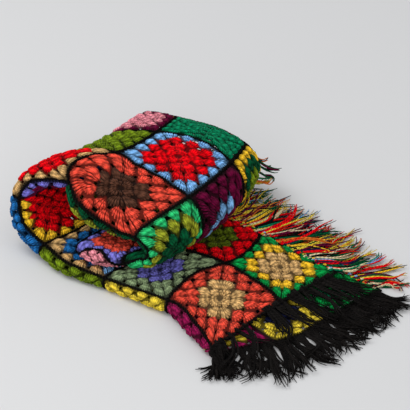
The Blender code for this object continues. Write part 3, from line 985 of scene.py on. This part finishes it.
# %% The list of the fringes
# Each fringe: whether a solid of its name stands for it, its edge, the first and last place
# along that, its locks, how they lie, the strands in a lock, its yarn, and the shares that
# have worn off along it. The corner tufts join the two black fringes round the fold.
FRINGE_COLUMNS = "name solid edge first last locks lie strands yarn worn"
Fringe = namedtuple("Fringe", FRINGE_COLUMNS)
WORN = (0.6, 0.75, 0.3, 0.1)
FRINGES = [Fringe(*values) for values in (
    ("corner_tufts", False, "end", 2.72, 3.20, 5, corner_lie, 12, "black_yarn", ()),
    ("end_fringe_top", True, "end", 3.22, 4.95, 24, end_top_lie, 8, "black_yarn", WORN),
    ("end_fringe_lower", True, "end", 0.05, 2.70, 36, end_lower_lie, 12, "black_yarn", ()),
    ("side_fringe_top", True, "inner side", 0.06, 2.90, 34, side_top_lie, 8, "mixed_yarn", ()),
    ("side_fringe_lower", True, "outer side", 0.06, 2.45, 29, side_lower_lie, 8, "mixed_yarn", ()),
    ("roll_fringe_outer", True, "outer side", 2.51, 7.95, 46, roll_outer_lie, 4, "mixed_yarn", ()),
    ("roll_fringe_inner", True, "inner side", 2.96, 7.95, 38, roll_inner_lie, 4, "mixed_yarn", ()),
)]
print(sum(fringe.locks for fringe in FRINGES), "locks in", len(FRINGES), "fringes")

# %% [markdown]
# Each lock is a bunch of cut strands drawn through the edge and knotted. Particle hair would
# need its own render settings and doesn't export, so each strand is a tube along its own
# line. Straight, even strands would look like a comb. So they go in small tufts that share
# their bend, length and wave, the tufts of three locks lean together, and each strand then
# differs a little from its tuft.

# %% The walk and the waves of the strands
LEVEL = np.linspace(0, 1, 9)
TUFT, TUFT_STEP = 4, 2.0
SWAY, RISE = 4.6, 1.8
WHOLE_TURN = 6.28
WAVES = (0.6, 1.6)
# How much chance does, for a whole tuft and for each strand in it: the angle at which it
# starts and its bend, both in degrees, and its share of the lock's length.
START_ERRORS, BEND_ERRORS = (10, 2.5), (42, 9)
TUFT_REACH, TUFT_LIMITS = (0.95, 0.11), (0.7, 1.12)
STRAND_REACH, STRAND_LIMITS = (1, 0.05), (0.85, 1.1)


def uneven(tuft, of_tuft, of_strand):
    """A chance value for each strand: one part shared by its tuft and one of its own."""
    return rng.normal(0, of_tuft, tuft[-1] + 1)[tuft] + rng.normal(0, of_strand, len(tuft))


def strand_walks(angle, length, tuft):
    """The way of each strand over the floor, the direction beside it, and its length."""
    start = angle + uneven(tuft, *START_ERRORS)
    bend = uneven(tuft, *BEND_ERRORS)
    turn = np.radians(start[:, None] + bend[:, None] * LEVEL ** 2)
    heading = np.stack([np.cos(turn), np.sin(turn), 0 * turn], -1)
    aside = np.stack([-np.sin(turn), np.cos(turn), 0 * turn], -1)
    reach = length * np.clip(rng.normal(*TUFT_REACH, tuft[-1] + 1)[tuft], *TUFT_LIMITS)
    reach = reach * np.clip(rng.normal(*STRAND_REACH, len(tuft)), *STRAND_LIMITS)
    walk = np.cumsum(heading, 1) - heading[:, :1]
    return walk * (reach / (len(LEVEL) - 1))[:, None, None], aside, reach


def strand_waves(tuft):
    """How far each strand sways sideways and rises along its length."""
    tufts = tuft[-1] + 1
    phase = rng.uniform(0, WHOLE_TURN, tufts)[tuft][:, None] + rng.normal(0, 0.3, (len(tuft), 1))
    waves = rng.uniform(*WAVES, tufts)[tuft][:, None]
    return (np.sin(phase + WHOLE_TURN * waves * LEVEL) * SWAY * LEVEL,
            np.sin(phase * 1.7 + 5.0 * waves * LEVEL) * RISE * LEVEL)


print("a tuft has", TUFT, "strands, a strand", len(LEVEL), "points past its knot")

# %% The lines of the strands
BACKING = 6.9
BUNCH = 3
BUNCHING = {"end": 0.75, "outer side": 0.45, "inner side": 0.45}
WORN_PLACES = (0, 0.3, 0.55, 1)
# Along a strand: how far it has come over to the root of its lock, towards its bunch, and out
# beside the others of its tuft, which close up again at the tips.
TO_ROOT = ease(LEVEL / 0.4) * 0.75
TO_BUNCH = ease(LEVEL / 0.7)
OUT, CLOSING = ease(LEVEL / 0.3), 1 - 0.8 * LEVEL
PLACE_SPREAD = 0.06
# In millimetres: how high the tufts and their strands are heaped, and how deep inside the edge
# and how high over the cloth's middle a strand is held.
LOWEST, TUFT_HEAP, STRAND_HEAP = 1.2, 5.0, 1.5
HOLD_DEPTHS, HOLD_HEIGHT = (2.5, 9.0), 2.6


def strand_lines(fringe):
    """The lines and lengths of all strands of one fringe, from inside the edge to the tips."""
    edge, locks, strands = fringe.edge, fringe.locks, fringe.strands
    stops = np.linspace(fringe.first, fringe.last, locks + 1)
    centre = (stops[:-1] + stops[1:]) / 2
    number = np.arange(locks)
    middle, forward, outward, _ = edge_frames(edge, centre)
    root = middle + outward * BACKING
    angle, length, rest = fringe.lie(number / (locks - 1), number, root[:, 2])
    lock = np.repeat(number, strands)
    count = len(lock)
    tuft = np.arange(count) // TUFT
    tufts = tuft[-1] + 1
    place = np.tile((np.arange(strands) + 0.5) / strands - 0.5, locks)
    place = place + rng.normal(0, PLACE_SPREAD, count)
    step = (fringe.last - fringe.first) / locks
    own, _, own_outward, own_up = edge_frames(edge, centre[lock] + place * step)
    walk, aside, reach = strand_walks(angle[lock], length[lock], tuft)
    gather = TO_ROOT[None, :, None]
    line = (own + own_outward * 3)[:, None] * (1 - gather) + root[lock][:, None] * gather + walk
    apart = ((lock // BUNCH) * BUNCH + 1 - lock) * BUNCHING[edge] * step * PITCH
    line = line + (forward[lock] * apart[:, None])[:, None] * TO_BUNCH[None, :, None]
    beside = (np.arange(count) % TUFT - (TUFT - 1) / 2) * TUFT_STEP
    beside = beside[:, None] * OUT * CLOSING
    sway, rise = strand_waves(tuft)
    line = line + aside * (beside + sway)[..., None]
    heap = rng.uniform(0, TUFT_HEAP, tufts)[tuft][:, None]
    heap = heap + rng.uniform(0, STRAND_HEAP, (count, 1))
    low = rest[lock][:, None] + LOWEST + heap
    height = low + (root[lock][:, 2:] - low) * (1 - LEVEL) ** 2 + rise
    line[..., 2] = np.maximum(height, LOWEST)
    inside = rng.uniform(*HOLD_DEPTHS, tufts)[tuft][:, None]
    hold = own - own_outward * inside + own_up * HOLD_HEIGHT
    knot = own + own_outward + own_up * rng.uniform(-1, 2.0, (count, 1))
    line = np.concatenate([hold[:, None], knot[:, None], line], 1) * MM
    if fringe.worn:
        left = rng.random(tufts)[tuft] > np.interp(lock / locks, WORN_PLACES, fringe.worn)
        return line[left], reach[left]
    return line, reach


print("strands are held", HOLD_DEPTHS[0], "to", HOLD_DEPTHS[1], "mm inside the edge")

# %% [markdown]
# A plump knot sits where each lock passes through the edge, and it hides where the strands
# meet. The black yarns differ only in how faded they are. Each of the other strands takes one
# of the leftover yarns, and two strands that lie together are often the same one, because a
# cut length is folded in half and pulled through.

# %% The knots and the dyes of the fringe
LEFTOVERS = ("yellow", "gold", "pine", "pine", "red", "red", "cream", "navy", "maroon", "teal",
             "sky", "black", "maroon", "yellow", "orange", "cream")
# A knot: its half width and form, where its middle is off the edge, how far it reaches, its
# height over the cloth's middle, and how flat it is.
KNOT_HALF = 3.4
KNOT_FORM = np.array((0.35, 0.9, 1.0, 0.85, 0.4))
KNOT_OUT, KNOT_REACH, KNOT_UP, KNOT_FLAT = 1.2, 3.6, 0.8, 0.8
FADED, FADED_KNOT, LEFTOVER_SHADES = (0.5, 3.0), (0.8, 1.5), (0.8, 1.15)


def knots_of(fringe):
    """A plump knot where each lock passes through the edge."""
    stops = np.linspace(fringe.first, fringe.last, fringe.locks + 1)
    middle, _, outward, up = edge_frames(fringe.edge, (stops[:-1] + stops[1:]) / 2)
    level = np.linspace(-1, 1, 5)[None, :, None]
    line = middle[:, None] + outward[:, None] * (KNOT_OUT + KNOT_REACH * level)
    line = line + up[:, None] * KNOT_UP
    ups = np.broadcast_to(up[:, None], line.shape)
    width = np.broadcast_to(KNOT_FORM * KNOT_HALF, line.shape[:2])
    return swept(PLAIN_TUBE, line * MM, ups, width, width * KNOT_FLAT)


def fringe_dyes(fringe, count):
    """The dyes of the strands and of the knots of one fringe."""
    if fringe.yarn == "black_yarn":
        black = LIGHT["black"][None]
        return (black * rng.uniform(*FADED, (count, 1)),
                black * rng.uniform(*FADED_KNOT, (fringe.locks, 1)))
    shades = np.array([LIGHT[name] for name in LEFTOVERS])
    pairs = rng.integers(0, len(shades), count // 2)
    dyes = np.repeat(shades[pairs], 2, axis=0) * rng.uniform(*LEFTOVER_SHADES, (count, 1))
    return dyes, shades[rng.integers(0, len(shades), fringe.locks)]


print(len(set(LEFTOVERS)), "leftover yarns, a knot", round(2 * KNOT_HALF, 1), "mm thick")

# %% Draw the strands and knot them
STRAND_TUBE = yarn_tube(5, 11)
STRAND_HALF, STRAND_FLAT = 1.5, 0.9
STRAND_TAPER = ((0, 0.15, 0.7, 1), (1.0, 1.15, 0.95, 0.35))
# The length in mm that one turn of the twist takes, and the turns in a knot.
TURN_LENGTH, KNOT_TURNS = 5.0, 2.0


def make_fringe(fringe):
    line, reach = strand_lines(fringe)
    count = len(line)
    ups = np.zeros_like(line)
    ups[..., 2] = 1.0
    width = np.interp(np.linspace(0, 1, STRAND_TUBE["rings"]), *STRAND_TAPER) * STRAND_HALF
    width = width * np.clip(rng.normal(1, 0.12, (count, 1)), 0.7, 1.3)
    body = swept(STRAND_TUBE, line, ups, width, width * STRAND_FLAT)
    dyes, knot_dyes = fringe_dyes(fringe, count)
    piece = yarn_mesh(fringe.name + "_yarn",
                      [(STRAND_TUBE, body, dyes, reach / TURN_LENGTH),
                       (PLAIN_TUBE, knots_of(fringe), knot_dyes,
                        np.full(fringe.locks, KNOT_TURNS))])
    piece.data.materials.append(FRINGE_WOOL)
    if fringe.solid:
        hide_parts(fringe.name)
    print(piece.name, count, "strands,", len(piece.data.polygons), "triangles")
    return piece


fringe_pieces = [make_fringe(fringe) for fringe in FRINGES]

# %% [markdown]
# All the yarn belongs to one cloth, five by eight squares of about 130 mm, held folded, with
# its stitches, joins and fringe on it.

# %% [markdown]
# The studio. The blanket lies on a pale grey floor that runs on as its backdrop. Broad, soft
# light comes from above, so there is almost no shadow but under the folds. One large lamp
# alone would leave the front dark, and so a second one fills it, and the pale air of the
# world does the rest.

# %% Floor and lights
FLOOR_HALF = 6.0
PAPER, PAPER_ROUGHNESS, PAPER_SHINE = (0.70, 0.70, 0.70, 1), 0.9, 0.1
AIR, AIR_STRENGTH = (0.97, 0.98, 1.0, 1), 0.70


def soft_light(name, place, size, power):
    """A square lamp that faces the blanket."""
    light = bpy.data.lights.new(name, "AREA")
    light.shape = "RECTANGLE"
    light.size = light.size_y = size
    light.energy = power
    lamp = bpy.data.objects.new(name, light)
    lamp.location = place
    lamp.rotation_euler = (-Vector(place)).to_track_quat("-Z", "Y").to_euler()
    bpy.context.scene.collection.objects.link(lamp)
    return lamp


def make_floor():
    bm = bmesh.new()
    bmesh.ops.create_grid(bm, x_segments=1, y_segments=1, size=FLOOR_HALF)
    mesh = bpy.data.meshes.new("studio_floor")
    bm.to_mesh(mesh)
    bm.free()
    floor = bpy.data.objects.new("studio_floor", mesh)
    paper = bpy.data.materials.new("pale_studio_paper")
    paper.use_nodes = True
    shader = paper.node_tree.nodes["Principled BSDF"]
    shader.inputs["Base Color"].default_value = PAPER
    shader.inputs["Roughness"].default_value = PAPER_ROUGHNESS
    shader.inputs["Specular IOR Level"].default_value = PAPER_SHINE
    mesh.materials.append(paper)
    bpy.context.scene.collection.objects.link(floor)
    return floor


floor = make_floor()
world = bpy.data.worlds.new("studio_air")
world.use_nodes = True
world.node_tree.nodes["Background"].inputs["Color"].default_value = AIR
world.node_tree.nodes["Background"].inputs["Strength"].default_value = AIR_STRENGTH
bpy.context.scene.world = world
lamps = [soft_light("key_softbox", (-1.2, -0.6, 2.2), 1.6, 22),
         soft_light("front_softbox", (0.9, -2.4, 1.1), 1.4, 16)]
bpy.context.scene.view_settings.view_transform = "Standard"
print("floor and lamps:", floor.name, [lamp.name for lamp in lamps])

# %% [markdown]
# The camera. The far squares look hardly smaller than the near ones, so it stands well back
# with a long lens. It looks down from a third of the way up and a little from the right. Its
# place is worked out from two angles and a distance, and it has to be linked to the scene and
# made the scene's own camera.

# %% The camera
AZIMUTH, ELEVATION, DISTANCE = math.radians(35), math.radians(33), 6.0
LENS = 323
FAR_CLIP = 100
AIM_HEIGHT, AIM_RIGHT, AIM_UP = 0.025, -0.026, 0.0945

right = Vector((math.cos(AZIMUTH), math.sin(AZIMUTH), 0))
over = Vector((-math.sin(AZIMUTH) * math.sin(ELEVATION),
               math.cos(AZIMUTH) * math.sin(ELEVATION), math.cos(ELEVATION)))
away = over.cross(right)
aim = Vector((0, 0, AIM_HEIGHT)) - Vector(MIDDLE) * MM + right * AIM_RIGHT + over * AIM_UP
camera = bpy.data.objects.new("camera", bpy.data.cameras.new("camera"))
camera.data.lens = LENS
camera.data.clip_end = FAR_CLIP
camera.location = aim - away * DISTANCE
camera.rotation_euler = away.to_track_quat("-Z", "Y").to_euler()
bpy.context.scene.collection.objects.link(camera)
bpy.context.scene.camera = camera
print("camera at", [round(x, 2) for x in camera.location])
